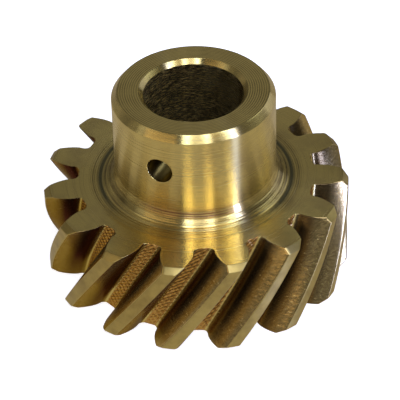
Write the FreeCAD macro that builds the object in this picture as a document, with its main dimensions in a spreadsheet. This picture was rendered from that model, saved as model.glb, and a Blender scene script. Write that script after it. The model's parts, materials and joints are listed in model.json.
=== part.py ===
import FreeCAD, Part
import math
import os
import Sketcher

# A bronze helical gear with a long hub, turned and hobbed from one bar.
# Origin: on the bore axis, in the back face of the toothed rim. +Z: towards the hub.
# The hub's cross hole opens towards -Y.

# Driving dimensions, in millimetres and degrees.
DIMENSIONS = (
    ("teeth", 15),
    ("normal_module", 1.865),
    ("normal_pressure_angle", 20),
    ("helix_angle", 32.7),          # at the pitch cylinder, right-hand
    ("dedendum_factor", 1.25),      # root depth below the pitch cylinder, in normal modules
    ("root_fillet_factor", 0.38),   # radius in the corners of a tooth space, in normal modules
    ("first_space_angle", 6.4),     # from +X to the middle of one tooth space, in the back face
    ("face_width", 12.7),
    ("outside_radius", 18.5),
    ("front_chamfer_radial", 0.71),
    ("front_chamfer_axial", 0.6),
    ("back_chamfer_radial", 0.82),
    ("back_chamfer_axial", 0.62),
    ("hub_radius", 9.74),
    ("overall_length", 25.2),
    ("hub_chamfer_radial", 0.71),
    ("hub_chamfer_axial", 0.86),
    ("hub_root_fillet", 2.05),
    ("bore_radius", 5.935),
    ("bore_chamfer", 0.55),
    ("cross_hole_radius", 1.6),
    ("cross_hole_height", 19.95),
    ("cutter_overrun", 2.0),        # how far each tooth space is cut on past both faces
    ("cutter_clearance", 0.3),      # how far its outline reaches outside the rim
)
FLANK_POINTS = 9      # points on the involute that each flank curve passes through
ZERO = 1e-9           # a sketch coordinate smaller than this lies on the axis
SAME_SIZE = 1e-6      # two sizes closer than this are the same


def make_sheet(doc):
    sheet = doc.addObject("Spreadsheet::Sheet", "Dimensions")
    for row, (alias, value) in enumerate(DIMENSIONS, start=1):
        sheet.set(f"A{row}", alias)
        sheet.set(f"B{row}", str(value))
        sheet.setAlias(f"B{row}", alias)
    doc.recompute()
    return sheet


def origin_feature(body, role):
    return next(item for item in body.Origin.OriginFeatures if item.Role == role)


def new_sketch(body, name, plane):
    sketch = body.newObject("Sketcher::SketchObject", name)
    sketch.AttachmentSupport = [(origin_feature(body, plane), "")]
    sketch.MapMode = "FlatFace"
    return sketch


def add_bound_polygon(sketch, corners):
    """A closed polygon. Each corner is (name, x expression, y expression), from the sketch origin."""
    count = len(corners)
    places = []
    for _, across, along in corners:
        places.append(FreeCAD.Vector(sketch.evalExpression(across), sketch.evalExpression(along), 0))
    for index in range(count):
        sketch.addGeometry(Part.LineSegment(places[index], places[(index + 1) % count]))
    for index in range(count):
        sketch.addConstraint(Sketcher.Constraint("Coincident", index, 2, (index + 1) % count, 1))
    for index, (name, across, along) in enumerate(corners):
        place = places[index]
        for kind, axis_name, value, expression in (
            ("DistanceX", "radius", place.x, across),
            ("DistanceY", "height", place.y, along),
        ):
            if abs(value) < ZERO:
                sketch.addConstraint(Sketcher.Constraint("PointOnObject", index, 1, -1))
                continue
            number = sketch.addConstraint(Sketcher.Constraint(kind, -1, 1, index, 1, value))
            sketch.renameConstraint(number, f"{name}_{axis_name}")
            sketch.setExpression(f"Constraints.{name}_{axis_name}", expression)


def turned_blank(body):
    """The rim, the hub, the bore and every turned chamfer, as one revolved half section."""
    bore = "Dimensions.bore_radius"
    bore_mouth = "Dimensions.bore_radius + Dimensions.bore_chamfer"
    rim = "Dimensions.outside_radius"
    front_rim = "Dimensions.outside_radius - Dimensions.front_chamfer_radial"
    back_rim = "Dimensions.outside_radius - Dimensions.back_chamfer_radial"
    hub = "Dimensions.hub_radius"
    hub_end = "Dimensions.hub_radius - Dimensions.hub_chamfer_radial"
    width = "Dimensions.face_width"
    length = "Dimensions.overall_length"
    corners = (
        ("back_bore", bore_mouth, "0"),
        ("back_rim", back_rim, "0"),
        ("rim_low", rim, "Dimensions.back_chamfer_axial"),
        ("rim_high", rim, width + " - Dimensions.front_chamfer_axial"),
        ("front_rim", front_rim, width),
        ("hub_root", hub, width),
        ("hub_high", hub, length + " - Dimensions.hub_chamfer_axial"),
        ("hub_end", hub_end, length),
        ("front_bore", bore_mouth, length),
        ("bore_high", bore, length + " - Dimensions.bore_chamfer"),
        ("bore_low", bore, "Dimensions.bore_chamfer"),
    )
    section = new_sketch(body, "TurnedSection", "XZ_Plane")
    add_bound_polygon(section, corners)
    blank = body.newObject("PartDesign::Revolution", "TurnedBlank")
    blank.Profile = section
    blank.ReferenceAxis = (origin_feature(body, "Z_Axis"), [""])
    blank.Angle = 360
    return blank


def hub_root_edge(shape, sheet):
    """The name of the sharp circle where the hub meets the toothed rim."""
    for number, edge in enumerate(shape.Edges, start=1):
        curve = edge.Curve
        if not isinstance(curve, Part.Circle):
            continue
        at_face = abs(curve.Center.z - sheet.face_width) < SAME_SIZE
        on_hub = abs(curve.Radius - sheet.hub_radius) < SAME_SIZE
        if at_face and on_hub:
            return f"Edge{number}"
    raise ValueError("the hub root edge is missing")


def hub_fillet(body, blank, sheet):
    fillet = body.newObject("PartDesign::Fillet", "HubRootFillet")
    fillet.Base = (blank, [hub_root_edge(blank.Shape, sheet)])
    fillet.setExpression("Radius", "Dimensions.hub_root_fillet")


def polar(radius, angle):
    return FreeCAD.Vector(radius * math.cos(angle), radius * math.sin(angle), 0)


def involute(angle):
    return math.tan(angle) - angle


class SpaceForm:
    """One tooth space in the plane of rotation, centred on +X, from the driving dimensions."""

    def __init__(self, sheet):
        helix = math.radians(sheet.helix_angle)
        normal_pressure = math.radians(sheet.normal_pressure_angle)
        self.teeth = sheet.teeth
        self.pressure = math.atan(math.tan(normal_pressure) / math.cos(helix))
        pitch_radius = sheet.teeth * sheet.normal_module / (2 * math.cos(helix))
        self.base_radius = pitch_radius * math.cos(self.pressure)
        self.root_radius = pitch_radius - sheet.dedendum_factor * sheet.normal_module
        self.outer_radius = sheet.outside_radius + sheet.cutter_clearance
        self.corner = sheet.root_fillet_factor * sheet.normal_module
        self.corner_radius = self.root_radius + self.corner     # axis to the corner's centre
        lean = math.asin(self.corner / self.corner_radius)
        self.corner_angle = self.half_angle(self.base_radius) - lean

    def half_angle(self, radius):
        """Half the angle that the space takes up at a radius on its involute."""
        flank_pressure = math.acos(min(1.0, self.base_radius / radius))
        at_pitch = math.pi / (2 * self.teeth)
        return at_pitch - involute(self.pressure) + involute(flank_pressure)

    def involute_flank(self, side):
        """The working flank. Its points are closest together near the base circle."""
        rise = self.outer_radius - self.base_radius
        shares = [(step / (FLANK_POINTS - 1)) ** 2 for step in range(FLANK_POINTS)]
        radii = [self.base_radius + rise * share for share in shares]
        flank = Part.BSplineCurve()
        flank.interpolate([polar(radius, side * self.half_angle(radius)) for radius in radii])
        return flank

    def foot_and_corner(self, side):
        """The radial foot below the base circle, and the round corner down to the root circle."""
        low_angle = side * self.half_angle(self.base_radius)
        foot = polar(math.sqrt(self.corner_radius ** 2 - self.corner ** 2), low_angle)
        centre = polar(self.corner_radius, side * self.corner_angle)
        at_root = polar(self.root_radius, side * self.corner_angle)
        towards = (foot - centre).normalize() + (at_root - centre).normalize()
        middle = centre + towards.normalize() * self.corner
        return [Part.LineSegment(foot, polar(self.base_radius, low_angle)),
                Part.Arc(at_root, middle, foot)]

    def arc_across(self, radius, half_angle):
        return Part.Arc(polar(radius, -half_angle), polar(radius, 0), polar(radius, half_angle))

    def curves(self):
        """The closed outline. It reaches outside the rim, so that the cut always comes through."""
        outline = []
        for side in (1, -1):
            outline.append(self.involute_flank(side))
            outline.extend(self.foot_and_corner(side))
        outline.append(self.arc_across(self.root_radius, self.corner_angle))
        outline.append(self.arc_across(self.outer_radius, self.half_angle(self.outer_radius)))
        return outline


def tooth_spaces(body, sheet):
    """One tooth space swept along the helix, repeated round the rim."""
    lead = ("pi * Dimensions.teeth * Dimensions.normal_module"
            " / sin(Dimensions.helix_angle * 1deg)")
    sketch = new_sketch(body, "ToothSpace", "XY_Plane")
    for curve in SpaceForm(sheet).curves():
        sketch.addGeometry(curve)
    sketch.setExpression("AttachmentOffset.Base.z", "-Dimensions.cutter_overrun")
    sketch.setExpression(
        "AttachmentOffset.Rotation.Angle",
        f"Dimensions.first_space_angle - 360 * Dimensions.cutter_overrun / ({lead})")
    space = body.newObject("PartDesign::SubtractiveHelix", "HobbedSpace")
    space.Profile = sketch
    space.ReferenceAxis = (sketch, ["N_Axis"])
    space.Mode = 0
    space.setExpression("Pitch", lead)
    space.setExpression("Height", "Dimensions.face_width + 2 * Dimensions.cutter_overrun")
    space.LeftHanded = False
    space.Refine = False
    body.Document.recompute()
    ring = body.newObject("PartDesign::PolarPattern", "HobbedSpaces")
    ring.Originals = [space]
    ring.Axis = (origin_feature(body, "Z_Axis"), [""])
    ring.Angle = 360
    ring.setExpression("Occurrences", "Dimensions.teeth")
    ring.Refine = False
    body.Tip = ring


def cross_hole(body, sheet):
    """The pin hole. It goes through the hub's -Y wall into the bore, and the other wall is whole."""
    sketch = new_sketch(body, "CrossHoleOutline", "XZ_Plane")
    centre = FreeCAD.Vector(0, sheet.cross_hole_height, 0)
    upwards = FreeCAD.Vector(0, 0, 1)
    sketch.addGeometry(Part.Circle(centre, upwards, sheet.cross_hole_radius))
    sketch.addConstraint(Sketcher.Constraint("PointOnObject", 0, 3, -2))
    height = sketch.addConstraint(
        Sketcher.Constraint("DistanceY", -1, 1, 0, 3, sheet.cross_hole_height))
    sketch.renameConstraint(height, "height")
    sketch.setExpression("Constraints.height", "Dimensions.cross_hole_height")
    radius = sketch.addConstraint(Sketcher.Constraint("Radius", 0, sheet.cross_hole_radius))
    sketch.renameConstraint(radius, "radius")
    sketch.setExpression("Constraints.radius", "Dimensions.cross_hole_radius")
    hole = body.newObject("PartDesign::Pocket", "CrossHole")
    hole.Profile = sketch
    hole.Type = "ThroughAll"
    hole.Reversed = True
    hole.Refine = False


def check_cross_hole(body, sheet):
    """The -Y wall must be open at the hole's axis, and the +Y wall solid."""
    wall_middle = (sheet.bore_radius + sheet.hub_radius) / 2
    for side, solid_there in ((-1, False), (1, True)):
        point = FreeCAD.Vector(0, side * wall_middle, sheet.cross_hole_height)
        if body.Shape.isInside(point, SAME_SIZE, False) != solid_there:
            raise ValueError("the cross hole is in the wrong wall")


def helical_gear(doc, sheet):
    body = doc.addObject("PartDesign::Body", "helical_gear")
    body.Label = "helical_gear"
    body.Placement = FreeCAD.Placement()
    blank = turned_blank(body)
    doc.recompute()
    hub_fillet(body, blank, sheet)
    doc.recompute()
    tooth_spaces(body, sheet)
    doc.recompute()
    cross_hole(body, sheet)
    doc.recompute()
    check_cross_hole(body, sheet)
    return body


def check_and_write(doc, bodies):
    for item in doc.Objects:
        if "Invalid" in item.State or "Error" in item.State:
            raise ValueError(f"{item.Name} failed: {item.State}")
    for body in bodies:
        if body.Shape.isNull() or not body.Shape.isValid():
            raise ValueError(f"{body.Label} has no valid shape")
        if len(body.Shape.Solids) != 1:
            raise ValueError(f"{body.Label} is not one solid")
    os.makedirs("parts", exist_ok=True)
    for body in bodies:
        body.Shape.exportStep(f"parts/{body.Label}.step")


doc = FreeCAD.newDocument("HelicalGear")
sheet = make_sheet(doc)
check_and_write(doc, [helical_gear(doc, sheet)])
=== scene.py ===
import json
import math
import bmesh
import bpy
import numpy as np
from mathutils import Matrix, Vector


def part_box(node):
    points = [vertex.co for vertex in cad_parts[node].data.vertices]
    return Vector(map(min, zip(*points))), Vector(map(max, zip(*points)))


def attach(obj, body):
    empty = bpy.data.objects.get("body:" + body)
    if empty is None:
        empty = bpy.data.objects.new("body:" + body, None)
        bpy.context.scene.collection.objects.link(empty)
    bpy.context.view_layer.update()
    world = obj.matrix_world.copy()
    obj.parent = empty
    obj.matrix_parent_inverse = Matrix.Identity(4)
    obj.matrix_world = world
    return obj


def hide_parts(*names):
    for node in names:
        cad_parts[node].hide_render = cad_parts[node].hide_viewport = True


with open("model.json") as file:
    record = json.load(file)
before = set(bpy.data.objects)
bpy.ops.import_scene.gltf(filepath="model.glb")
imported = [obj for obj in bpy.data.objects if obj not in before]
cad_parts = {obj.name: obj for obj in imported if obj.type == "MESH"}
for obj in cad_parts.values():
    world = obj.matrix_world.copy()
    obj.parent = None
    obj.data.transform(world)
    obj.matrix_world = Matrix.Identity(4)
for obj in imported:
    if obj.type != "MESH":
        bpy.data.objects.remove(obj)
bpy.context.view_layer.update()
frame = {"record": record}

# A bronze helical gear with a long hub. The visible gear is built here as one closed mesh of
# quads that follow the metal: round the hub, and along the helix of the teeth. It stands for the
# CAD solid, with the same sizes. Lengths are in millimetres until the mesh is made.
MM = 0.001

# The toothed rim
TEETH = 15
NORMAL_MODULE = 1.865
NORMAL_PRESSURE_ANGLE = math.radians(20)
HELIX_ANGLE = math.radians(32.7)
DEDENDUM_FACTOR = 1.25
ROOT_FILLET_FACTOR = 0.38
FIRST_SPACE_ANGLE = math.radians(6.4)      # the middle of a tooth space, at the back face
FACE_WIDTH = 12.7
FRONT_CHAMFER = (0.71, 0.60)      # radial, axial
BACK_CHAMFER = (0.82, 0.62)

# The hub and the bore
HUB_RADIUS = 9.74
HUB_CHAMFER = (0.71, 0.86)
HUB_ROOT_FILLET = 2.05
BORE_CHAMFER = 0.55

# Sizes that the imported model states
mounts = {mount["name"]: mount for mount in frame["record"]["mounts"]}
BORE_RADIUS = mounts["shaft_bore"]["dims"]["r_mm"]
HOLE_RADIUS = mounts["cross_pin_hole"]["dims"]["r_mm"]
HOLE_HEIGHT = mounts["cross_pin_hole"]["pos_m"][2] / MM
gear_low, gear_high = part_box("helical_gear")
OUTSIDE_RADIUS = (gear_high[0] - gear_low[0]) / 2 / MM
LENGTH = gear_high[2] / MM

# Gear geometry that follows from them
PITCH_RADIUS = TEETH * NORMAL_MODULE / (2 * math.cos(HELIX_ANGLE))
PRESSURE_ANGLE = math.atan(math.tan(NORMAL_PRESSURE_ANGLE) / math.cos(HELIX_ANGLE))
BASE_RADIUS = PITCH_RADIUS * math.cos(PRESSURE_ANGLE)
ROOT_RADIUS = PITCH_RADIUS - DEDENDUM_FACTOR * NORMAL_MODULE
ROOT_FILLET = ROOT_FILLET_FACTOR * NORMAL_MODULE
PITCH = 2 * math.pi / TEETH
TWIST = math.tan(HELIX_ANGLE) / PITCH_RADIUS       # radians per millimetre of height
FIRST_TOOTH_ANGLE = FIRST_SPACE_ANGLE - PITCH / 2

# Small rounds that break the sharp edges
TOOTH_END_BREAK = 0.05
LAND_EDGE_BREAK = 0.12
RIM_EDGE_BREAK = 0.07
HUB_EDGE_BREAK = 0.06
HOLE_EDGE_BREAK = 0.07

# Rings that the turning tool left round the hub's foot. Their places are measured along the
# outline, from FACE_JOIN_RADIUS on the front face towards the hub and up its fillet.
RING_WAVES = (0.31, 0.47, 0.79)      # wavelengths that add up to uneven rings
RING_DEPTH = 0.016        # of each wave, either side of its middle
RING_REACH = (0.3, 5.4)   # where the rings start and end
RING_FADE = 0.5           # the rings come and go over this length
WITNESS_RING = 3.19       # a fine ridge that the tool left standing
WITNESS_WIDTH = 0.06
WITNESS_DEPTH = 0.012

# Mesh divisions
LAND_STEPS = 14           # across a tooth
ROOT_STEPS = 10           # across the bottom of a tooth space
FLANK_STEPS = 16          # up the involute
FLANK_CROWDING = 1.5      # above 1, the steps are shorter near the root, where the involute bends most
FILLET_STEPS = 6          # round the corner of a tooth space
LAND_EDGE_POINTS = 2      # round the edge between a flank and the land
CHAMFER_STEPS = 4         # along a chamfered end of the teeth
RIM_LAYERS = 40           # along the tooth
RING_POINTS = TEETH * (LAND_STEPS + ROOT_STEPS)      # round the hub and the bore
FACE_ROWS = 5             # across a flat face, from the root circle to the join
FACE_JOIN_RADIUS = 13.4   # where the flat faces change from tooth spacing to even spacing
HUB_FILLET_STEPS = 40     # round the fillet at the hub's foot
EDGE_TURNS = np.radians([0, 30, 60, 90])      # the steps round a broken edge

# How many points of a tooth outline belong to each of its parts, and where each part ends
FLANK_POINTS = (FILLET_STEPS + 1) + (FLANK_STEPS + 1) + LAND_EDGE_POINTS
LAND_POINTS = LAND_STEPS - 1
ROOT_POINTS = ROOT_STEPS - 1
TOOTH_POINTS = 2 * FLANK_POINTS + LAND_POINTS + ROOT_POINTS
PART_ENDS = (FLANK_POINTS, FLANK_POINTS + LAND_POINTS, 2 * FLANK_POINTS + LAND_POINTS)

# Patches that carry the cross hole: rows up them, and columns each side of the hole
PATCH_HALF = 2.4
PATCH_LOW = HOLE_HEIGHT - PATCH_HALF
PATCH_HIGH = HOLE_HEIGHT + PATCH_HALF
HUB_PATCH_COLUMNS = 14
HUB_PATCH_ROWS = 26
BORE_PATCH_COLUMNS = 23
BORE_PATCH_ROWS = 8
HOLE_RINGS = 6            # from a patch's border to the hole
WALL_RINGS = 8            # along the drilled wall
BORE_MARGIN = 0.01        # a face this near to the bore's radius belongs to the bore

# The order of the gear's materials
TURNED, LAND, FLANK, BORE, HOLE = range(5)


def to_polar(points):
    return np.hypot(points[..., 0], points[..., 1]), np.arctan2(points[..., 1], points[..., 0])


def to_flat(radius, angle):
    return np.stack([radius * np.cos(angle), radius * np.sin(angle)], axis=-1)


def nearest_turn(angle):
    """The same angle, between half a turn back and half a turn on."""
    return (angle + math.pi) % (2 * math.pi) - math.pi


def steps_inside(start, end, steps):
    """The values that divide start..end into even steps, without its two ends."""
    return np.linspace(start, end, steps + 1)[1:-1]


def length_along(points):
    """How far each point is from the first one, along the line through them all."""
    steps = np.linalg.norm(np.diff(points, axis=0), axis=1)
    return np.concatenate([[0], np.cumsum(steps)])


def left_of(directions):
    """Unit vectors to the left of the given directions, at a right angle to them."""
    unit = directions / np.linalg.norm(directions, axis=1)[:, None]
    return np.stack([-unit[:, 1], unit[:, 0]], axis=1)


def involute(angle):
    return np.tan(angle) - angle


def half_tooth_angle(radius):
    """Half the angle that a tooth takes up at a radius on its involute."""
    pressure = np.arccos(np.minimum(1.0, BASE_RADIUS / radius))
    return PITCH / 4 + involute(PRESSURE_ANGLE) - involute(pressure)


def flank(tip_radius):
    """One side of a tooth centred on +X, from the root circle out to the land."""
    centre_radius = ROOT_RADIUS + ROOT_FILLET
    lean = math.asin(ROOT_FILLET / centre_radius)
    low_angle = half_tooth_angle(BASE_RADIUS)
    centre = to_flat(centre_radius, low_angle + lean)
    start = low_angle + lean + math.pi
    turns = np.linspace(0, math.pi / 2 - lean, FILLET_STEPS + 1)
    corner = centre + ROOT_FILLET * to_flat(1.0, start + turns)
    rise = np.linspace(0, 1, FLANK_STEPS + 1) ** FLANK_CROWDING
    radii = BASE_RADIUS + (tip_radius - LAND_EDGE_BREAK - BASE_RADIUS) * rise
    side = to_flat(radii, half_tooth_angle(radii))
    sharp = to_flat(tip_radius, half_tooth_angle(tip_radius))
    land_start = to_flat(tip_radius, half_tooth_angle(tip_radius) - LAND_EDGE_BREAK / tip_radius)
    middle = (side[-1] + 2 * sharp + land_start) / 4
    return np.concatenate([corner, side, [middle], [land_start]])


def tooth_outline(tip_radius):
    """A tooth and the root that follows it, as radii and angles."""
    radius, angle = to_polar(flank(tip_radius))
    land = steps_inside(-angle[-1], angle[-1], LAND_STEPS)
    root = steps_inside(angle[0], PITCH - angle[0], ROOT_STEPS)
    radii = np.concatenate([radius, np.full(LAND_POINTS, tip_radius), radius[::-1],
                            np.full(ROOT_POINTS, ROOT_RADIUS)])
    angles = np.concatenate([-angle, land, angle[::-1], root])
    return radii, angles


def corner_arc(before, corner, after, rounding):
    """The points that round one corner of an outline, or the corner itself."""
    if rounding == 0:
        return [corner]
    to_before = (before - corner) / np.linalg.norm(before - corner)
    to_after = (after - corner) / np.linalg.norm(after - corner)
    half = math.acos(np.clip(to_before @ to_after, -1, 1)) / 2
    inward = (to_before + to_after) / np.linalg.norm(to_before + to_after)
    centre = corner + inward * rounding / math.sin(half)
    first = corner + to_before * rounding / math.tan(half) - centre
    last = corner + to_after * rounding / math.tan(half) - centre
    turn = math.atan2(first[0] * last[1] - first[1] * last[0], first @ last)
    steps = HUB_FILLET_STEPS if rounding == HUB_ROOT_FILLET else len(EDGE_TURNS) - 1
    points = []
    for angle in np.linspace(0, turn, steps + 1):
        cos, sin = math.cos(angle), math.sin(angle)
        points.append(centre + np.array([cos * first[0] - sin * first[1],
                                         sin * first[0] + cos * first[1]]))
    return points


def turned_outline(corners):
    """Points along an outline. A corner is (radius, height, rounding, steps on to the next)."""
    places = np.array(corners, float)[:, :2]
    arcs = []
    for index, corner in enumerate(places):
        before = places[max(index - 1, 0)]
        after = places[min(index + 1, len(places) - 1)]
        arcs.append(corner_arc(before, corner, after, corners[index][2]))
    points = []
    for index, arc in enumerate(arcs[:-1]):
        steps = corners[index][3]
        straight = arcs[index + 1][0] - arc[-1]
        points.extend(arc)
        points.extend(arc[-1] + straight * step / steps for step in range(1, steps))
    return np.array([*points, *arcs[-1]])


def rim_layers():
    """(height, tip radius, inset) of each layer of the toothed rim, from the back face up."""
    front_radial, front_axial = FRONT_CHAMFER
    back_radial, back_axial = BACK_CHAMFER
    outline = turned_outline([
        (OUTSIDE_RADIUS - back_radial, 0, 0, CHAMFER_STEPS),
        (OUTSIDE_RADIUS, back_axial, RIM_EDGE_BREAK, RIM_LAYERS),
        (OUTSIDE_RADIUS, FACE_WIDTH - front_axial, RIM_EDGE_BREAK, CHAMFER_STEPS),
        (OUTSIDE_RADIUS - front_radial, FACE_WIDTH, 0, 0),
    ])
    back, front = [], []
    for turn in EDGE_TURNS:
        from_end = TOOTH_END_BREAK * (1 - math.sin(turn))
        inset = TOOTH_END_BREAK * (1 - math.cos(turn))
        back_tip = OUTSIDE_RADIUS - back_radial * (1 - from_end / back_axial)
        front_tip = OUTSIDE_RADIUS - front_radial * (1 - from_end / front_axial)
        back.append((from_end, back_tip, inset))
        front.append((FACE_WIDTH - from_end, front_tip, inset))
    middle = [(height, tip, 0.0) for tip, height in outline[1:-1]]
    return back[::-1] + middle + front


def move_inwards(loop, inset):
    """A closed loop of points, anticlockwise, moved into the metal by a small inset."""
    if inset == 0:
        return loop
    along = np.roll(loop, -1, axis=0) - np.roll(loop, 1, axis=0)
    return loop + inset * left_of(along)


class Skin:
    """Collects points and faces in index grids, with a finish for each face."""

    def __init__(self):
        self.points = []
        self.hobbed = []        # (across, along, tooth) of each point, all 0 away from the teeth
        self.count = 0
        self.faces = []
        self.finishes = []

    def add(self, flat, height, hobbed=(0.0, 0.0, 0.0)):
        """Points from their (x, y) and heights. Returns their indices in the same arrangement."""
        flat = np.asarray(flat, float)
        self.hobbed.append(np.broadcast_to(hobbed, (*flat.shape[:-1], 3)).reshape(-1, 3))
        heights = np.broadcast_to(height, flat.shape[:-1])
        block = np.concatenate([flat, heights[..., None]], axis=-1).reshape(-1, 3)
        index = np.arange(self.count, self.count + len(block)).reshape(flat.shape[:-1])
        self.points.append(block)
        self.count += len(block)
        return index

    def all_points(self):
        return np.concatenate(self.points)

    def cover(self, grid, finish, closed=False, keep=None):
        """Quads between neighbouring rows and columns of an index grid."""
        grid = np.asarray(grid)
        columns = grid.shape[1] if closed else grid.shape[1] - 1
        for row in range(grid.shape[0] - 1):
            for column in range(columns):
                if keep is not None and not keep(row, column):
                    continue
                after = (column + 1) % grid.shape[1]
                face = [grid[row, column], grid[row, after],
                        grid[row + 1, after], grid[row + 1, column]]
                self.faces.append([int(index) for index in face])
                self.finishes.append(finish(row, column) if callable(finish) else finish)


def rim_finish(layer, column):
    """A rim face is land from the middle of one broken edge to the end of the other."""
    first = FLANK_POINTS - LAND_EDGE_POINTS
    last = FLANK_POINTS + LAND_STEPS
    return LAND if first <= column % TOOTH_POINTS <= last else FLANK


def hob_places(radii, angles):
    """How far each point of a tooth outline is from the middle of its tooth space, along the metal."""
    up_flank = length_along(to_flat(radii, angles)[:FLANK_POINTS])
    half_root = ROOT_RADIUS * (PITCH / 2 - abs(angles[0]))
    land = np.full(LAND_POINTS, half_root + up_flank[-1])
    root = steps_inside(-half_root, half_root, ROOT_STEPS)
    return np.concatenate([half_root + up_flank, land, -half_root - up_flank[::-1], root])


def toothed_rim(skin):
    """The lands, flanks and roots. Returns the two end loops as (tooth, place) index grids."""
    loops = []
    for height, tip, inset in rim_layers():
        radii, angles = tooth_outline(tip)
        turns = FIRST_TOOTH_ANGLE + TWIST * height + PITCH * np.arange(TEETH)
        loop = to_flat(np.tile(radii, TEETH), (turns[:, None] + angles).ravel())
        across = np.tile(hob_places(radii, angles), TEETH)
        along = np.full(len(across), height / math.cos(HELIX_ANGLE))
        tooth = np.repeat(np.arange(TEETH), TOOTH_POINTS)
        hobbed = np.stack([across, along, tooth], axis=-1)
        loops.append(skin.add(move_inwards(loop, inset), height, hobbed))
    skin.cover(loops, rim_finish, closed=True)
    return loops[0].reshape(TEETH, -1), loops[-1].reshape(TEETH, -1)


def rim_end(skin, loop, height):
    """The flat end of every tooth. Returns the ring of points at the root circle."""
    points = skin.all_points()
    share = steps_inside(0, 1, LAND_STEPS)
    ring = []
    for tooth in loop:
        left, land, right, root = np.split(tooth, PART_ENDS)
        right = right[::-1]
        rows = []
        for start, end in zip(left[:-1], right[:-1]):
            radius, angle = to_polar(points[[start, end]])
            spread = nearest_turn(angle[1] - angle[0])
            flat = to_flat(radius[0] + (radius[1] - radius[0]) * share, angle[0] + spread * share)
            rows.append([start, *skin.add(flat, height), end])
        rows.append([left[-1], *land, right[-1]])
        skin.cover(rows, TURNED)
        ring.extend([*rows[0], *root])
    return np.array(ring)


def even_angles():
    """Evenly spaced angles round the axis, with one of them on the cross hole's side, -Y."""
    return -math.pi / 2 + np.arange(RING_POINTS) * 2 * math.pi / RING_POINTS


def face_annulus(skin, ring, height, even_ring):
    """The flat face between the root circle and an evenly spaced ring inside it."""
    radius, angle = to_polar(skin.all_points()[ring])
    even = even_angles()
    shift = int(np.argmin(np.abs(nearest_turn(even - angle[0]))))
    swing = nearest_turn(np.roll(even, -shift) - angle)
    grid = [ring]
    for share in steps_inside(0, 1, FACE_ROWS):
        flat = to_flat(radius + (FACE_JOIN_RADIUS - radius) * share, angle + swing * share)
        grid.append(skin.add(flat, height))
    grid.append(np.roll(even_ring, -shift))
    skin.cover(grid, TURNED, closed=True)


def hub_outline():
    """The turned outline from the front face, over the hub and through the bore, to the back."""
    hub_radial, hub_axial = HUB_CHAMFER
    mouth = BORE_RADIUS + BORE_CHAMFER
    # radius, height, rounding, steps on to the next corner
    return tool_marks(turned_outline([
        (FACE_JOIN_RADIUS, FACE_WIDTH, 0, 20),
        (HUB_RADIUS, FACE_WIDTH, HUB_ROOT_FILLET, 6),
        (HUB_RADIUS, PATCH_LOW, 0, HUB_PATCH_ROWS),
        (HUB_RADIUS, PATCH_HIGH, 0, 5),
        (HUB_RADIUS, LENGTH - hub_axial, HUB_EDGE_BREAK, 3),
        (HUB_RADIUS - hub_radial, LENGTH, HUB_EDGE_BREAK, 6),
        (mouth, LENGTH, HUB_EDGE_BREAK, 2),
        (BORE_RADIUS, LENGTH - BORE_CHAMFER, HUB_EDGE_BREAK, 4),
        (BORE_RADIUS, PATCH_HIGH, 0, BORE_PATCH_ROWS),
        (BORE_RADIUS, PATCH_LOW, 0, 24),
        (BORE_RADIUS, BORE_CHAMFER, HUB_EDGE_BREAK, 2),
        (mouth, 0, HUB_EDGE_BREAK, 12),
        (FACE_JOIN_RADIUS, 0, 0, 0),
    ]))


def tool_marks(outline):
    """The outline with shallow tool rings cut into the hub's root fillet and the face beside it."""
    low, high = RING_REACH
    along = length_along(outline)
    fade = np.clip((along - low) / RING_FADE, 0, 1) * np.clip((high - along) / RING_FADE, 0, 1)
    waves = sum(np.sin(2 * math.pi * along / length + length) for length in RING_WAVES)
    witness = np.exp(-((along - WITNESS_RING) / WITNESS_WIDTH) ** 2)
    inwards = fade * (RING_DEPTH * (len(RING_WAVES) - waves) + WITNESS_DEPTH * (1 - witness))
    return outline + left_of(np.gradient(outline, axis=0)) * inwards[:, None]


def patch_loop(grid, rows, columns):
    """The indices round a patch: rows is (lower, upper), columns are counted from the hole."""
    lower, upper = rows
    step = 1 if upper > lower else -1
    upwards = np.arange(lower, upper + step, step)
    across = np.arange(-columns, columns + 1)
    low = grid[lower, across]
    right = grid[upwards, columns]
    high = grid[upper, across]
    left = grid[upwards, -columns]
    return np.concatenate([low[:-1], right[:-1], high[:0:-1], left[:0:-1]])


def hole_ring(radius, turns, wall_radius, depth=0.0):
    """Points of the drilled hole where it meets a wall, or a little way in from it."""
    across = radius * np.cos(turns)
    up = HOLE_HEIGHT + radius * np.sin(turns)
    return np.stack([across, -np.sqrt(wall_radius ** 2 - across ** 2) + depth], axis=-1), up


def holed_patch(skin, loop, wall_radius, inwards, finish):
    """Fills a patch up to the hole, and rounds the hole's edge. Returns its last ring and turns."""
    points = skin.all_points()[loop]
    across, up = points[:, 0], points[:, 2] - HOLE_HEIGHT
    turns = np.unwrap(np.arctan2(up, across))
    reach = np.hypot(across, up)
    mouth = HOLE_RADIUS + HOLE_EDGE_BREAK
    grid = [loop]
    for share in np.linspace(0, 1, HOLE_RINGS + 1)[1:]:
        grid.append(skin.add(*hole_ring(reach + (mouth - reach) * share, turns, wall_radius)))
    for turn in EDGE_TURNS[1:]:
        radius = mouth - HOLE_EDGE_BREAK * math.sin(turn)
        depth = inwards * HOLE_EDGE_BREAK * (1 - math.cos(turn))
        grid.append(skin.add(*hole_ring(radius, turns, wall_radius, depth)))
    skin.cover(grid, finish, closed=True)
    return grid[-1], turns


def hole_wall(skin, outer, outer_turns, inner, inner_turns):
    """The drilled wall between the hub's surface and the bore."""
    points = skin.all_points()
    start, end = points[outer, 1], points[inner, 1]
    grid = [outer]
    for share in steps_inside(0, 1, WALL_RINGS):
        turns = outer_turns + (inner_turns - outer_turns) * share
        across = HOLE_RADIUS * np.cos(turns)
        along = start + (end - start) * share
        height = HOLE_HEIGHT + HOLE_RADIUS * np.sin(turns)
        grid.append(skin.add(np.stack([across, along], axis=-1), height))
    grid.append(inner)
    skin.cover(grid, HOLE, closed=True)


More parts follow.
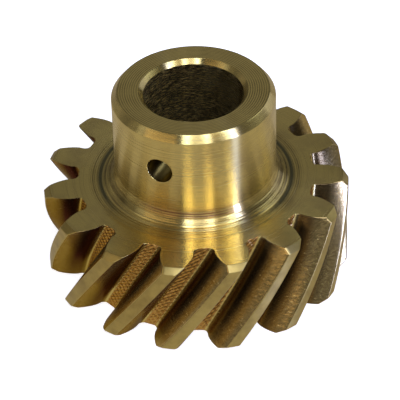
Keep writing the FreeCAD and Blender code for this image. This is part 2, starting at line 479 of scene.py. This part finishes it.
def row_at(outline, radius, height):
    """The index of the point of an outline that is nearest to a place."""
    return int(np.argmin(np.hypot(outline[:, 0] - radius, outline[:, 1] - height)))


def in_patch(row, column, rows, columns):
    """Whether a face lies in the patch round the cross hole, whose middle is column 0."""
    offset = (column + RING_POINTS // 2) % RING_POINTS - RING_POINTS // 2
    return rows[0] <= row < rows[1] and -columns <= offset < columns


def hub_and_bore(skin):
    """Everything turned inside the root circle. Returns the front and back face rings."""
    outline = hub_outline()
    angles = even_angles()
    grid = np.array([skin.add(to_flat(radius, angles), height) for radius, height in outline])
    hub_rows = (row_at(outline, HUB_RADIUS, PATCH_LOW), row_at(outline, HUB_RADIUS, PATCH_HIGH))
    bore_rows = (row_at(outline, BORE_RADIUS, PATCH_HIGH), row_at(outline, BORE_RADIUS, PATCH_LOW))

    def outside_patches(row, column):
        in_hub = in_patch(row, column, hub_rows, HUB_PATCH_COLUMNS)
        in_bore = in_patch(row, column, bore_rows, BORE_PATCH_COLUMNS)
        return not (in_hub or in_bore)

    def finish(row, column):
        return BORE if outline[row:row + 2, 0].max() < BORE_RADIUS + BORE_MARGIN else TURNED

    skin.cover(grid, finish, closed=True, keep=outside_patches)
    hub_loop = patch_loop(grid, hub_rows, HUB_PATCH_COLUMNS)
    bore_loop = patch_loop(grid, bore_rows[::-1], BORE_PATCH_COLUMNS)
    outer, outer_turns = holed_patch(skin, hub_loop, HUB_RADIUS, 1, TURNED)
    inner, inner_turns = holed_patch(skin, bore_loop, BORE_RADIUS, -1, BORE)
    hole_wall(skin, outer, outer_turns, inner, inner_turns)
    return grid[0], grid[-1]


def smooth_mesh(skin, name):
    """The collected grids as one smooth, closed mesh object in metres."""
    mesh = bpy.data.meshes.new(name)
    mesh.from_pydata((skin.all_points() * MM).tolist(), [], skin.faces)
    mesh.polygons.foreach_set("material_index", np.array(skin.finishes, np.int32))
    mesh.polygons.foreach_set("use_smooth", np.ones(len(skin.faces), bool))
    hobbed = mesh.attributes.new("hobbed", "FLOAT_VECTOR", "POINT")
    hobbed.data.foreach_set("vector", np.concatenate(skin.hobbed).astype(np.float32).ravel())
    work = bmesh.new()
    work.from_mesh(mesh)
    loose = [vertex for vertex in work.verts if not vertex.link_faces]
    bmesh.ops.delete(work, geom=loose, context="VERTS")
    bmesh.ops.recalc_face_normals(work, faces=work.faces)
    work.to_mesh(mesh)
    work.free()
    piece = bpy.data.objects.new(name, mesh)
    bpy.context.scene.collection.objects.link(piece)
    piece.modifiers.new("even_shading", "WEIGHTED_NORMAL")
    return piece


def gear():
    skin = Skin()
    back_loop, front_loop = toothed_rim(skin)
    front_ring = rim_end(skin, front_loop, FACE_WIDTH)
    back_ring = rim_end(skin, back_loop, 0.0)
    front_even, back_even = hub_and_bore(skin)
    face_annulus(skin, front_ring, FACE_WIDTH, front_even)
    face_annulus(skin, back_ring, 0.0, back_even)
    return smooth_mesh(skin, "bronze_gear")


# Colours of the finishes
BRONZE = (0.78, 0.60, 0.20, 1)
TARNISHED = (0.62, 0.47, 0.17, 1)
HUB_STAIN = (0.34, 0.16, 0.08, 1)
SCORE_DARK = (0.20, 0.14, 0.05, 1)
# painted dark reflection in a ring round the hub's foot
FOOT_RING_DARK_REFLECTION = (0.15, 0.14, 0.07, 1)
LAND_BRONZE = (0.58, 0.43, 0.13, 1)
LAND_DULL = (0.36, 0.25, 0.08, 1)
FLANK_BRONZE = (0.66, 0.48, 0.18, 1)
FLANK_BROWN = (0.42, 0.29, 0.10, 1)
# painted shade on the flanks
FLANK_PAINTED_SHADE = (0.12, 0.08, 0.03, 1)
ROOT_BRONZE = (0.68, 0.40, 0.11, 1)
ROOT_BROWN = (0.56, 0.28, 0.07, 1)
# painted shade inside the cross hole
HOLE_SHADED_BRONZE = (0.36, 0.27, 0.09, 1)
# painted shade deep in the bore, and painted glints on its scratches
BORE_PAINTED_SHADE = (0.07, 0.05, 0.015, 1)
BORE_SCRATCH_GLINT = (1.0, 0.76, 0.28, 1)
EDGE_TINT = (0.38, 0.27, 0.13, 1)      # how a tarnished surface reflects near its outline

# Distances between the marks that the tools leave
FEED_MARK = 0.27          # the lathe tool moves this far each turn
ROOT_DIMPLE = 0.80        # the hob's dimples along a root
FLANK_MARK = 0.85         # its feed marks along a flank
HOB_WANDER = 0.6          # how far the hob's marks stray from even spacing
RING_DRIFT = 0.004        # how quickly the turned rings change along themselves

# Height of the feed marks, as a share of their finish's relief
LATHE_FEED_HEIGHT = (0.06, 2.0)             # on the turned metal in general, and on the hub's end
FLANK_MARK_HEIGHT = 0.10

# Roughness where a finish's noise is low and where it is high
NOISE_RANGE = (0.3, 0.7)                    # nearly all of a noise's values
TURNED_ROUGHNESS = (0.24, 0.28)
END_POLISH = -0.08                          # the hub's end is smoother by this much
LAND_ROUGHNESS = (0.34, 0.44)
FLANK_ROUGHNESS = (0.18, 0.28)
BORE_ROUGHNESS = (0.20, 0.34)
HOLE_ROUGHNESS = 0.28

# Depth of the fine relief of each finish, in millimetres
TURNED_RELIEF = 0.003
LAND_RELIEF = 0.01
FLANK_RELIEF = 0.016
ROOT_RELIEF = 0.05
BORE_RELIEF = 0.50
HOLE_RELIEF = 0.03

# Where marks lie. A band has the places where it starts, is full, begins to fade and ends
FRONT_SIDE = (0.35, -0.94)                  # towards the front of the hub, whose foot is stained, and where the painted dark reflection round its foot fades
BORE_SHADED_SIDE = (0.9, 0.44)                     # towards the shaded side of the bore, where the painted glints on its scratches fade
SCORED_BAND = (9.76, 10.2, 12.6, 13.2)      # radius of the score rings round the hub's foot
DARK_REFLECTION_BAND = (11.25, 11.5, 11.75, 12.0)      # radius of the painted dark reflection ring among them
STAIN_BAND = (0.7, 1.0, 1.6, 2.6)           # height of the stain above the face
CREASE_HIGHLIGHT_BAND = (0.65, 0.80, 0.95, 1.15)      # the painted highlight along the crease beside a root, from the tooth space's middle


class Recipe:
    """One procedural material: short calls that add nodes and link them."""

    def __init__(self, name, metallic=1.0):
        self.material = bpy.data.materials.new(name)
        self.material.use_nodes = True
        self.tree = self.material.node_tree
        self.shader = self.tree.nodes["Principled BSDF"]
        self.set("Metallic", metallic)

    def node(self, kind, inputs=None, **settings):
        node = self.tree.nodes.new(kind)
        for name, value in settings.items():
            setattr(node, name, value)
        for name, value in (inputs or {}).items():
            self.feed(node.inputs[name], value)
        return node

    def feed(self, socket, value):
        if isinstance(value, bpy.types.NodeSocket):
            self.tree.links.new(value, socket)
        else:
            socket.default_value = value

    def set(self, name, value):
        self.feed(self.shader.inputs[name], value)

    def math(self, operation, first, second=0.0, third=0.0):
        node = self.node("ShaderNodeMath", {0: first, 1: second, 2: third}, operation=operation)
        return node.outputs[0]

    def product(self, first, *others):
        result = first
        for value in others:
            result = self.math("MULTIPLY", result, value)
        return result

    def wave(self, shape, value, length):
        """SINE or COSINE of a distance, with the given wavelength."""
        return self.math(shape, self.math("MULTIPLY", value, 2 * math.pi / length))

    def between(self, value, low, high, start=0.0, end=1.0):
        """Takes a value from low..high to start..end, and stops at both ends."""
        inputs = {"Value": value, "From Min": low, "From Max": high, "To Min": start, "To Max": end}
        return self.node("ShaderNodeMapRange", inputs).outputs["Result"]

    def band(self, value, start, full, fading, end):
        """1 from full to fading, 0 before start and after end, and sloping between."""
        return self.product(self.between(value, start, full), self.between(value, fading, end, 1.0, 0.0))

    def vector(self, x=0.0, y=0.0, z=0.0):
        return self.node("ShaderNodeCombineXYZ", {0: x, 1: y, 2: z}).outputs[0]

    def split(self, vector):
        return self.node("ShaderNodeSeparateXYZ", {0: vector}).outputs

    def stretch(self, vector, factors):
        """A vector with each of its parts multiplied by a factor, which squeezes noise that way."""
        inputs = {0: vector, 1: factors}
        return self.node("ShaderNodeVectorMath", inputs, operation="MULTIPLY").outputs[0]

    def noise(self, vector, scale, detail=2.0, roughness=0.5):
        inputs = {"Vector": vector, "Scale": scale, "Detail": detail, "Roughness": roughness}
        return self.node("ShaderNodeTexNoise", inputs).outputs["Fac"]

    def blend(self, share, first, second):
        """The first colour where share is 0, the second where it is 1. Sockets 6, 7 and 2 are colours."""
        node = self.node("ShaderNodeMix", {0: share, 6: first, 7: second}, data_type="RGBA")
        return node.outputs[2]

    def bump(self, height, depth, under=None):
        """Relief, where a height of 1 stands for the given depth in millimetres."""
        inputs = {"Height": height, "Distance": depth * MM}
        if under is not None:
            inputs["Normal"] = under
        return self.node("ShaderNodeBump", inputs).outputs["Normal"]

    def point(self):
        """The place on the gear, in millimetres."""
        coordinates = self.node("ShaderNodeTexCoord").outputs["Object"]
        inputs = {0: coordinates, "Scale": 1 / MM}
        return self.node("ShaderNodeVectorMath", inputs, operation="SCALE").outputs[0]

    def from_axis(self, point):
        """How far a point is from the axis."""
        x, y = self.split(point)[:2]
        squares = self.math("ADD", self.math("MULTIPLY", x, x), self.math("MULTIPLY", y, y))
        return self.math("SQRT", squares)

    def towards(self, side, point):
        """How far a point is from the axis, towards one side of the gear."""
        x, y = self.split(point)[:2]
        return self.math("MULTIPLY_ADD", x, side[0], self.math("MULTIPLY", y, side[1]))

    def rings(self, point):
        """Coordinates that change quickly across turned grooves and slowly along them."""
        x, y, z = self.split(point)
        across = self.math("MULTIPLY_ADD", x, RING_DRIFT, self.from_axis(point))
        up = self.math("MULTIPLY_ADD", y, RING_DRIFT, z)
        return self.vector(across, up)

    def grooves(self, anisotropy):
        """Spreads highlights across grooves that run round the axis."""
        tangent = self.node("ShaderNodeTangent", direction_type="RADIAL", axis="Z")
        self.set("Anisotropic", anisotropy)
        self.set("Anisotropic Rotation", 0.25)      # a quarter turn
        self.set("Tangent", tangent.outputs[0])


class TurnedPlace:
    """Where a point is on the turned metal, and the fine marks that it has there."""

    def __init__(self, recipe):
        self.point = recipe.point()
        z = recipe.split(self.point)[2]
        self.radius = recipe.from_axis(self.point)
        self.front = recipe.towards(FRONT_SIDE, self.point)
        self.above_face = recipe.math("SUBTRACT", z, FACE_WIDTH)
        self.off_back = recipe.between(z, FACE_WIDTH - 1, FACE_WIDTH - 0.5)      # 0 on the back face
        self.on_end = recipe.between(z, LENGTH - 0.05, LENGTH - 0.02)      # 1 on the hub's flat end
        self.lines = recipe.noise(recipe.rings(self.point), scale=5.0, detail=5.0, roughness=0.65)
        self.feed = recipe.wave("SINE", recipe.math("ADD", self.radius, z), FEED_MARK)


def tarnish(recipe, place):
    """Clouds of tarnish, fainter on the hub's end, and darker lines round the gear."""
    cloud = recipe.noise(place.point, scale=0.22, detail=4.0, roughness=0.6)
    exposed = recipe.between(place.on_end, 0.0, 1.0, 1.0, 0.2)
    clouds = recipe.product(recipe.between(cloud, 0.45, 0.65), exposed)
    return recipe.math("MAXIMUM", clouds, recipe.between(place.lines, 0.53, 0.60, 0.0, 0.6))


def score_rings(recipe, place):
    """Dark feed marks on the hub's end and round its foot. Those at the foot fade at the front."""
    patchy = recipe.between(recipe.noise(place.point, scale=0.35), 0.35, 0.6, 0.3, 0.8)
    marks = recipe.product(recipe.between(place.feed, 0.3, 0.9), patchy)
    not_front = recipe.between(place.front, 6.0, 9.5, 1.0, 0.35)
    at_foot = recipe.product(recipe.band(place.radius, *SCORED_BAND), not_front, place.off_back)
    return recipe.product(marks, recipe.math("MAXIMUM", place.on_end, at_foot))


def dark_reflection_ring(recipe, place):
    """A painted dark reflection: one dark ring round the hub's foot, which fades at the front."""
    not_front = recipe.between(place.front, 5.0, 9.0, 0.92, 0.1)
    return recipe.product(recipe.band(place.radius, *DARK_REFLECTION_BAND), not_front, place.off_back)


def foot_stain(recipe, place):
    """A streaky stain on the front of the hub, just above its foot."""
    at_front = recipe.between(place.front, 7.0, 9.5)
    streaks = recipe.between(place.lines, 0.40, 0.55, 1.0, 0.15)
    return recipe.product(recipe.band(place.above_face, *STAIN_BAND), at_front, streaks)


def turned_finish():
    """Bronze turned on a lathe: fine rings, feed marks, and older marks at the hub's foot."""
    recipe = Recipe("turned_bronze")
    place = TurnedPlace(recipe)
    colour = recipe.blend(tarnish(recipe, place), BRONZE, TARNISHED)
    colour = recipe.blend(score_rings(recipe, place), colour, SCORE_DARK)
    # painted dark reflection in a ring round the hub's foot
    colour = recipe.blend(dark_reflection_ring(recipe, place), colour, FOOT_RING_DARK_REFLECTION)
    recipe.set("Base Color", recipe.blend(foot_stain(recipe, place), colour, HUB_STAIN))
    roughness = recipe.between(place.lines, *NOISE_RANGE, *TURNED_ROUGHNESS)
    recipe.set("Roughness", recipe.math("MULTIPLY_ADD", place.on_end, END_POLISH, roughness))
    feed_height = recipe.between(place.on_end, 0.0, 1.0, *LATHE_FEED_HEIGHT)
    height = recipe.math("MULTIPLY_ADD", place.feed, feed_height, place.lines)
    recipe.set("Normal", recipe.bump(height, TURNED_RELIEF))
    recipe.grooves(anisotropy=1.0)
    return recipe.material


def land_finish():
    """The tops of the teeth: the turned outside of the blank, dulled by handling."""
    recipe = Recipe("turned_tooth_land")
    point = recipe.point()
    lines = recipe.noise(recipe.rings(point), scale=3.0, detail=4.0, roughness=0.6)
    cloud = recipe.noise(point, scale=0.5, detail=4.0, roughness=0.6)
    dullness = recipe.between(cloud, 0.4, 0.7, 0.0, 0.7)
    recipe.set("Base Color", recipe.blend(dullness, LAND_BRONZE, LAND_DULL))
    recipe.set("Roughness", recipe.between(lines, *NOISE_RANGE, *LAND_ROUGHNESS))
    recipe.set("Normal", recipe.bump(lines, LAND_RELIEF))
    recipe.grooves(anisotropy=0.8)
    return recipe.material


def flank_painted_shade(recipe, from_middle, along):
    """Painted shade low on a flank, thinner near the back of the gear."""
    starting = recipe.between(from_middle, 1.0, 1.6, 0.5, 1.0)
    fading = recipe.between(from_middle, 2.8, 4.3, 1.0, 0.0)
    near_front = recipe.between(along, 0.0, 7.0, 0.55, 1.0)
    return recipe.product(starting, fading, near_front)


def flank_finish():
    """Hobbed tooth spaces: dimpled roots, and flanks with feed marks across them."""
    recipe = Recipe("hobbed_flank", metallic=0.95)
    hobbed = recipe.node("ShaderNodeAttribute", attribute_name="hobbed").outputs["Vector"]
    across, along = recipe.split(hobbed)[:2]
    from_middle = recipe.math("ABSOLUTE", across)
    in_root = recipe.between(from_middle, *CREASE_HIGHLIGHT_BAND[:2], 1.0, 0.0)
    shifted = recipe.math("MULTIPLY_ADD", recipe.noise(hobbed, scale=1.1, detail=3.0), HOB_WANDER, along)
    rows = recipe.wave("SINE", shifted, ROOT_DIMPLE)
    dimples = recipe.product(rows, recipe.wave("COSINE", across, ROOT_DIMPLE))
    grain = recipe.noise(recipe.stretch(hobbed, (1, 2, 1)), scale=2.2, detail=5.0, roughness=0.7)

    root_colour = recipe.blend(recipe.between(dimples, -0.6, 0.4), ROOT_BROWN, ROOT_BRONZE)
    colour = recipe.blend(recipe.between(grain, 0.35, 0.65), FLANK_BROWN, FLANK_BRONZE)
    # painted shade low on each flank
    colour = recipe.blend(flank_painted_shade(recipe, from_middle, along), colour, FLANK_PAINTED_SHADE)
    # painted highlight: bright bronze along the crease beside each root
    colour = recipe.blend(recipe.band(from_middle, *CREASE_HIGHLIGHT_BAND), colour, BRONZE)
    recipe.set("Base Color", recipe.blend(in_root, colour, root_colour))
    recipe.set("Specular Tint", EDGE_TINT)
    recipe.set("Roughness", recipe.between(grain, *NOISE_RANGE, *FLANK_ROUGHNESS))

    marks = recipe.wave("SINE", shifted, FLANK_MARK)
    flank_height = recipe.math("MULTIPLY_ADD", marks, FLANK_MARK_HEIGHT, grain)
    flank_relief = recipe.bump(flank_height, FLANK_RELIEF)
    dimple_height = recipe.product(dimples, in_root)
    recipe.set("Normal", recipe.bump(dimple_height, ROOT_RELIEF, under=flank_relief))
    return recipe.material


def bore_finish():
    """The reamed bore: painted shade, with rough scratches that run part of the way round, painted bright
    as glints away from its shaded side.
    """
    recipe = Recipe("reamed_bore")
    point = recipe.point()
    scratches = recipe.noise(recipe.stretch(point, (1, 1, 10)), scale=1.3, detail=5.0, roughness=0.75)
    # painted glints on the scratches, fading towards the bore's shaded side
    glint_side = recipe.between(recipe.towards(BORE_SHADED_SIDE, point), -3.0, 4.0, 1.0, 0.10)
    painted_glints = recipe.product(recipe.between(scratches, 0.53, 0.61), glint_side)
    recipe.set("Base Color", recipe.blend(painted_glints, BORE_PAINTED_SHADE, BORE_SCRATCH_GLINT))
    recipe.set("Roughness", recipe.between(scratches, *NOISE_RANGE, *BORE_ROUGHNESS))
    recipe.set("Normal", recipe.bump(scratches, BORE_RELIEF))
    recipe.grooves(anisotropy=0.5)
    return recipe.material


def hole_finish():
    """The drilled cross hole, with the drill's marks round it, in darkened bronze as painted shade."""
    recipe = Recipe("drilled_hole")
    drill_marks = recipe.noise(recipe.stretch(recipe.point(), (1, 4, 1)), scale=1.5, detail=4.0)
    # painted shade: darkened bronze on the drilled wall
    recipe.set("Base Color", HOLE_SHADED_BRONZE)
    recipe.set("Specular Tint", EDGE_TINT)
    recipe.set("Roughness", HOLE_ROUGHNESS)
    recipe.set("Normal", recipe.bump(drill_marks, HOLE_RELIEF))
    return recipe.material


# The studio. Distances are in metres and angles in degrees. Azimuth turns from +X towards +Y, and
# elevation is above the floor.
GEAR_MIDDLE = np.array([0, 0, LENGTH / 2 * MM])
LIGHT_DISTANCE = 0.6
FLOOR_SIZE = 4
PAPER = (0.9, 0.9, 0.9, 1)
PAPER_GLOW = 0.7
WHITE = (1, 1, 1, 1)
MIRRORED_FLOOR = (0.48, 0.455, 0.43, 1)
WALL_BRIGHTNESS = 0.10

# The camera looks down at the gear from its right front corner
CAMERA_AZIMUTH = -64.0
CAMERA_ELEVATION = 37.71
CAMERA_DISTANCE = 0.25086
CAMERA_ROLL = -1.754
LENS = 186.07
NEAREST_SHOWN = 0.01
AIM_HEIGHT = 0.00855
AIM_RIGHT = 0.000397

# The lights as the gear sees them: name, azimuth, width, elevation and height in degrees, and
# radiance in red, green and blue. Each one puts its own streak or sheen on the bronze.
SOFTBOXES = (
    ("front_left", -77.5, 8, 52, 30, (4.7, 5.3, 7.4)),
    ("front_middle", -60.5, 24, 52, 30, (2.2, 2.3, 2.9)),
    ("front_right", -43.5, 7, 52, 32, (3.8, 4.3, 6.4)),
    ("front_far_left", -112, 40, 29, 16, (1.25, 0.95, 0.62)),
    ("window_side", -26, 22, 55, 26, (1.0, 0.90, 0.75)),
    ("window", -9, 7, 49, 24, (4.2, 5.4, 9.0)),
    ("window_foot", -12, 7, 11, 16, (17, 23, 64)),
    ("window_low", -13, 18, 27, 20, (1.6, 1.4, 1.4)),
    ("window_top", -6, 14, 58, 24, (1.3, 1.5, 2.0)),
    ("right", 61, 26, 20, 36, (0.50, 0.55, 0.82)),
    ("right_high", 50, 18, 43, 22, (1.0, 1.15, 1.4)),
    ("back_right", 116, 22, 38, 50, (0.12, 0.12, 0.12)),
    ("back_left", 171, 20, 36, 50, (0.16, 0.15, 0.15)),
    ("left_rear", -155, 12, 36, 50, (0.12, 0.11, 0.10)),
    ("left", -142, 9, 40, 44, (0.62, 0.62, 0.66)),
)


def direction(azimuth, elevation):
    """The unit vector from the gear towards a place in the studio."""
    flat = math.cos(math.radians(elevation))
    return np.array([flat * math.cos(math.radians(azimuth)),
                     flat * math.sin(math.radians(azimuth)),
                     math.sin(math.radians(elevation))])


def aim(thing, place, target):
    thing.location = place
    thing.rotation_mode = "QUATERNION"
    thing.rotation_quaternion = (Vector(target) - Vector(place)).to_track_quat("-Z", "Y")


def width_across(degrees):
    """How wide a light is, from the angle that it takes up as the gear sees it."""
    return 2 * LIGHT_DISTANCE * math.tan(math.radians(degrees / 2))


def softbox(name, azimuth, width, elevation, height, radiance):
    """A soft studio light that the camera itself doesn't see."""
    light = bpy.data.lights.new(name, "AREA")
    light.shape = "RECTANGLE"
    light.size = width_across(width)
    light.size_y = width_across(height)
    light.energy = light.size * light.size_y * math.pi      # for a radiance of 1 in each colour
    light.color = radiance
    lamp = bpy.data.objects.new(name, light)
    lamp.visible_camera = False
    bpy.context.scene.collection.objects.link(lamp)
    aim(lamp, GEAR_MIDDLE + LIGHT_DISTANCE * direction(azimuth, elevation), GEAR_MIDDLE)


def pale_floor():
    """Pale paper to the camera, and a plain warm grey where the bronze mirrors it."""
    bpy.ops.mesh.primitive_plane_add(size=FLOOR_SIZE)
    floor = bpy.context.object
    floor.name = "floor"
    recipe = Recipe("pale_floor", metallic=0.0)
    recipe.set("Base Color", PAPER)
    recipe.set("Roughness", 1.0)
    recipe.set("Emission Color", WHITE)
    recipe.set("Emission Strength", PAPER_GLOW)
    mirrored = recipe.node("ShaderNodeEmission", {"Color": MIRRORED_FLOOR}).outputs[0]
    is_mirror = recipe.node("ShaderNodeLightPath").outputs["Is Glossy Ray"]
    paper = recipe.shader.outputs[0]
    mix = recipe.node("ShaderNodeMixShader", {0: is_mirror, 1: paper, 2: mirrored})
    recipe.feed(recipe.tree.nodes["Material Output"].inputs["Surface"], mix.outputs[0])
    floor.data.materials.append(recipe.material)


def studio_walls():
    world = bpy.data.worlds.new("studio")
    bpy.context.scene.world = world
    world.use_nodes = True
    background = world.node_tree.nodes["Background"]
    background.inputs["Color"].default_value = WHITE
    background.inputs["Strength"].default_value = WALL_BRIGHTNESS


def corner_camera():
    data = bpy.data.cameras.new("camera")
    data.lens = LENS
    data.clip_start = NEAREST_SHOWN
    camera = bpy.data.objects.new("camera", data)
    bpy.context.scene.collection.objects.link(camera)
    place = GEAR_MIDDLE + CAMERA_DISTANCE * direction(CAMERA_AZIMUTH, CAMERA_ELEVATION)
    right = direction(CAMERA_AZIMUTH + 90, 0)
    aim(camera, place, np.array([0, 0, AIM_HEIGHT]) + AIM_RIGHT * right)
    roll = Matrix.Rotation(math.radians(CAMERA_ROLL), 4, "Z").to_quaternion()
    camera.rotation_quaternion = camera.rotation_quaternion @ roll
    bpy.context.scene.camera = camera


piece = gear()
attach(piece, "root")
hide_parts("helical_gear")
for make_finish in (turned_finish, land_finish, flank_finish, bore_finish, hole_finish):
    piece.data.materials.append(make_finish())

for settings in SOFTBOXES:
    softbox(*settings)
pale_floor()
studio_walls()
corner_camera()
bpy.context.scene.view_settings.view_transform = "Standard"
